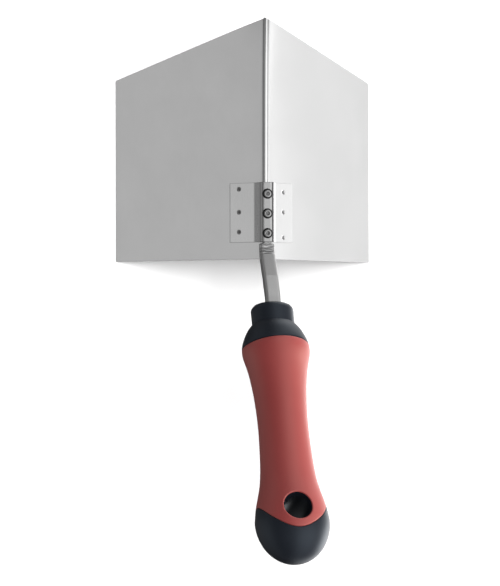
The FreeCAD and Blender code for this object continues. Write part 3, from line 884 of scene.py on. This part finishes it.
def hole_cutter(name, front, back, lean=(0.0, 0.0), around=128):
    """A bar through the handle at the hang hole. front and back list (radius, height over the
    surface) from outside in, so each end can open out to a rounded or sloped rim. lean moves
    the back end along w and u."""
    turn = np.linspace(0, 2 * math.pi, around, endpoint=False)
    rings = []
    for side in (1, -1):
        for reach, offset in (front if side == 1 else back[::-1]):
            x = reach * np.cos(turn)
            u = HOLE_AT + reach * np.sin(turn)
            if side == -1:
                x = x + lean[0]
                u = u + lean[1]
            v = side * (surface_height(x, u) + offset)
            rings.append(to_row(x, u, v))
    return ring_mesh(name, rings, bpy.data.materials.new(name))


def rounded_rim(radius, rounding):
    """A hole's rim with a quarter-round edge, as radius and height over the surface."""
    rim = [(radius + rounding, 4 * MM), (radius + rounding, 0.01 * MM)]
    for k in range(1, 9):
        angle = math.pi / 2 * k / 8
        rim.append((radius + rounding * (1 - math.sin(angle)), -rounding * (1 - math.cos(angle))))
    return rim


def make_sleeve(material):
    """The soft grip: a tube with rounded ends whose rear edge sweeps round the hang hole."""
    turn = np.linspace(0, 2 * math.pi, AROUND, endpoint=False)
    rear = grip_rear(turn)
    front = grip_front(turn)
    near = np.array([0, 0.03, 0.1, 0.22, 0.4, 0.65, 1.0]) * GRIP_EDGE
    shares = np.linspace(0, 1, GRIP_RINGS)[1:-1]
    outer = [(front + d, edge_inset(d, GRIP_EDGE)) for d in near]
    outer += [(front + GRIP_EDGE + s * (rear - front - 2 * GRIP_EDGE), 0.0) for s in shares]
    outer += [(rear - d, edge_inset(d, GRIP_EDGE)) for d in near[::-1]]
    rings = [handle_ring(u, inset, turn) for u, inset in outer]
    for share in np.linspace(0, 1, 24):
        u = rear + (front - rear) * share
        rings.append(handle_ring(u, GRIP_SKIN - BORE_GAP, turn))
    piece = ring_mesh("grip_skin", rings, material, wrap=True)
    rim = rounded_rim(LINING_RADIUS, GRIP_RIM)
    boolean(piece, hole_cutter("sleeve_cutter", rim, rim), "DIFFERENCE")
    shade(piece, 40)
    hand_over(piece, "grip_sleeve")
    return piece


def lining_bar(material, around=128):
    """The solid bar that becomes the hole's lining: its ends follow the handle's surface."""
    turn = np.linspace(0, 2 * math.pi, around, endpoint=False)
    radius = LINING_RADIUS - 0.04 * MM
    steps = [(0.3, -0.25), (0.7, -0.25), (0.93, -0.25), (0.98, -0.29), (1.0, -0.40)]
    rings = []
    for side in (1, -1):
        ordered = steps if side == 1 else steps[::-1]
        for share, offset in ordered:
            x = radius * share * np.cos(turn)
            u = HOLE_AT + radius * share * np.sin(turn)
            v = side * (surface_height(x, u) + offset * MM)
            rings.append(to_row(x, u, v))
    return ring_mesh("lining_bar", rings, material)


def make_core(material):
    """The hard core: collar, bulge, heel, a recess under the grip and the hole's lining."""
    turn = np.linspace(0, 2 * math.pi, AROUND, endpoint=False)
    front = grip_front(turn) - SEAM
    back = grip_rear(turn) + SEAM
    face = handle_ring(np.zeros(AROUND), 0.0, turn)
    middle = face.mean(0)
    rings = [middle + (face - middle) * share for share in (0.02, 0.3, 0.6, 0.85)]

    def add(u, inset=0.0):
        rings.append(handle_ring(u + np.zeros(AROUND), inset, turn))

    for k in range(13):
        add(COLLAR_ROUND * (1 - math.cos(math.pi / 2 * k / 12)))
    for u in np.linspace(COLLAR_ROUND, CREASE_AT - 0.15 * MM, 12)[1:]:
        add(u)
    add(CREASE_AT + 0.02 * MM)
    for u in np.linspace(CREASE_AT + 0.25 * MM, front - CORE_EDGE, 26):
        add(u)
    for d in np.array([0.6, 0.35, 0.18, 0.07, 0.02, 0]) * CORE_EDGE:
        add(front - d, edge_inset(d, CORE_EDGE))
    for share in np.linspace(0, 1, 30):
        add(front + (back - front) * share, GRIP_SKIN)
    for d in np.array([0, 0.02, 0.07, 0.18, 0.35, 0.6, 1.0]) * CORE_EDGE:
        add(back + d, edge_inset(d, CORE_EDGE))
    heel = back + CORE_EDGE
    for k in range(1, 60):
        add(heel + (HANDLE_LENGTH - heel) * math.sin(math.pi / 2 * k / 60))
    piece = ring_mesh("core_body", rings, material)
    boolean(piece, lining_bar(material), "UNION")
    boolean(piece, hole_cutter("bore_cutter", FUNNEL, BACK_RIM, BACK_LEAN), "DIFFERENCE")
    shade(piece, 32)
    hand_over(piece, "handle_core")
    return piece


# ---------------------------------------------------------------- stage, light and camera

def make_floor(material):
    """A plain pale floor that only the camera sees, so that it doesn't wash out the metal."""
    half = 6.0
    corners = [(-half, -half, 0), (half, -half, 0), (half, half, 0), (-half, half, 0)]
    floor = new_piece("floor", corners, [(0, 1, 2, 3)], material)
    floor.location.z = -0.1 * MM
    floor.visible_diffuse = False
    floor.visible_glossy = False
    return floor


# Studio surroundings, as brightness round the Y axis: degrees from straight up, positive to
# the right, and how bright it is there.
ACROSS = [
    (-180, 0.06),
    (-150, 0.16),
    (-134, 0.28),
    (-118, 0.42),
    (-98, 0.54),
    (-86, 0.74),
    (-76, 0.72),
    (-64, 0.62),
    (-54, 0.22),
    (-44, 0.18),
    (-28, 0.28),
    (-4, 0.42),
    (7, 0.42),
    (12, 0.90),
    (16, 1.80),
    (58, 1.80),
    (66, 0.80),
    (74, 0.45),
    (84, 0.60),
    (90, 1.80),
    (96, 1.90),
    (101, 1.00),
    (108, 1.10),
    (118, 3.60),
    (146, 3.40),
    (156, 1.80),
    (168, 0.60),
    (180, 0.06),
]

# The same surroundings dimmed towards the front: (share of the direction along Y, factor).
FORWARD = [
    (-1.0, 0.40),
    (-0.5, 0.75),
    (-0.2, 1.0),
    (0.14, 1.0),
    (0.28, 0.42),
    (0.55, 0.42),
    (0.68, 0.74),
    (0.93, 0.74),
    (0.955, 0.22),
    (1.0, 0.20),
]


def graded(nodes, links, factor, stops, low, high):
    """A colour ramp over a value that runs from low to high, and its strongest stop."""
    share = nodes.new("ShaderNodeMapRange")
    share.inputs["From Min"].default_value = low
    share.inputs["From Max"].default_value = high
    links.new(factor, share.inputs["Value"])
    ramp = nodes.new("ShaderNodeValToRGB")
    elements = ramp.color_ramp.elements
    while len(elements) < len(stops):
        elements.new(0.5)
    top = max(value for _, value in stops)
    for element, (place, value) in zip(elements, stops):
        element.position = (place - low) / (high - low)
        element.color = (value / top, value / top, value / top, 1)
    links.new(share.outputs[0], ramp.inputs["Fac"])
    return ramp.outputs["Color"], top


def make_world():
    """Soft studio surroundings: dim above and to the left, bright to the right."""
    world = bpy.data.worlds.new("studio")
    bpy.context.scene.world = world
    world.use_nodes = True
    nodes, links = world.node_tree.nodes, world.node_tree.links
    place = nodes.new("ShaderNodeTexCoord")
    split = nodes.new("ShaderNodeSeparateXYZ")
    links.new(place.outputs["Generated"], split.inputs[0])
    angle = nodes.new("ShaderNodeMath")
    angle.operation = "ARCTAN2"
    links.new(split.outputs["X"], angle.inputs[0])
    links.new(split.outputs["Z"], angle.inputs[1])
    radians = [(math.radians(degrees), value) for degrees, value in ACROSS]
    across, top = graded(nodes, links, angle.outputs[0], radians, -math.pi, math.pi)
    forward, _ = graded(nodes, links, split.outputs["Y"], FORWARD, -1, 1)
    both = nodes.new("ShaderNodeMix")
    both.data_type = "RGBA"
    both.blend_type = "MULTIPLY"
    both.inputs["Factor"].default_value = 1.0
    first, second = [i for i in both.inputs if i.type == "RGBA"]
    result = next(o for o in both.outputs if o.type == "RGBA")
    links.new(across, first)
    links.new(forward, second)
    background = nodes["Background"]
    links.new(result, background.inputs["Color"])
    background.inputs["Strength"].default_value = top


def area_light(name, place, target, size, power):
    """A rectangular soft light that points at target."""
    data = bpy.data.lights.new(name, "AREA")
    data.shape = "RECTANGLE"
    data.size, data.size_y = size
    data.energy = power
    light = bpy.data.objects.new(name, data)
    bpy.context.scene.collection.objects.link(light)
    light.location = place
    light.rotation_mode = "QUATERNION"
    light.rotation_quaternion = (Vector(target) - Vector(place)).to_track_quat("-Z", "Y")
    light.visible_camera = False
    return light


def light_only(light, piece, name):
    """Makes a light shine on one piece and nothing else."""
    lit = bpy.data.collections.new(name)
    lit.objects.link(piece)
    light.light_linking.receiver_collection = lit


def make_lights(floor, grip, core):
    """A lamp for the floor, a key from the right, and small fills for the grip and the heel."""
    overhead = area_light("overhead", (0.0, 0.40, 2.0), (0, 0, 0), (1.05, 1.05), 43)
    light_only(overhead, floor, "floor_only")
    key = area_light("right_key", (1.5, -0.1, 0.85), (0, -0.07, 0.08), (0.7, 1.0), 8)
    key.visible_glossy = False
    panel = area_light("side_panel", (0.9, -0.18, 0.22), (0, -0.10, 0.10), (0.5, 0.55), 5.5)
    panel.data.color = (1.0, 0.95, 0.86)
    light_only(panel, grip, "grip_only")
    card = area_light("heel_card", (0.28, -0.19, 0.05), (0, -0.115, 0.13), (0.16, 0.16), 0.26)
    light_only(card, core, "core_only")


CAMERA_LEFT = math.radians(9.99)       # from straight above, towards the left wing
CAMERA_BACK = math.radians(0.864)      # towards the handle
CAMERA_ROLL = math.radians(-0.138)
CAMERA_DISTANCE = 1.67
CAMERA_LENS = 209.6
CAMERA_AIM = (3.24 * MM, -15.12 * MM)  # off the middle of the blade's rear edge, in the image


def make_camera():
    """The camera, almost straight above the trowel, with a long lens."""
    back = Vector((-math.sin(CAMERA_LEFT) * math.cos(CAMERA_BACK), -math.sin(CAMERA_BACK),
                   math.cos(CAMERA_LEFT) * math.cos(CAMERA_BACK)))
    up = Vector((0, 1, 0))
    up = (up - back * up.dot(back)).normalized()
    right = up.cross(back)
    c, s = math.cos(CAMERA_ROLL), math.sin(CAMERA_ROLL)
    right, up = c * right + s * up, c * up - s * right
    zero = Vector((0, REAR, RIDGE_Z - WING_HALF))
    place = zero + right * CAMERA_AIM[0] + up * CAMERA_AIM[1] + back * CAMERA_DISTANCE
    data = bpy.data.cameras.new("camera")
    data.lens = CAMERA_LENS
    data.sensor_width = 36.0
    data.clip_start, data.clip_end = 0.05, 50
    camera = bpy.data.objects.new("camera", data)
    bpy.context.scene.collection.objects.link(camera)
    camera.matrix_world = Matrix((
        (right.x, up.x, back.x, place.x),
        (right.y, up.y, back.y, place.y),
        (right.z, up.z, back.z, place.z),
        (0, 0, 0, 1),
    ))
    bpy.context.scene.camera = camera


def main():
    """Builds the trowel, its stage, lights and camera."""
    make_camera()
    blade_steel = steel("blade_steel", 0.60, 0.20)
    bracket_steel = steel("bracket_steel", 0.65, 0.24)
    tang_steel = steel("tang_steel", 0.46, 0.33, marks=0.25, grain=(400, 60, 400))
    rivet_metal = steel("rivet_metal", 0.42, 0.40)
    pin_steel = steel("pin_steel", 0.30, 0.40, marks=0.2)
    make_blade(blade_steel)
    make_bracket(bracket_steel)
    for name, along in RIVETS.items():
        make_rivet(name, along, rivet_metal, pin_steel)
    make_tang(tang_steel)
    core = make_core(black_plastic())
    grip = make_sleeve(red_rubber())
    floor = make_floor(pale_floor())
    make_world()
    make_lights(floor, grip, core)
    bpy.context.scene.view_settings.view_transform = "Standard"


main()
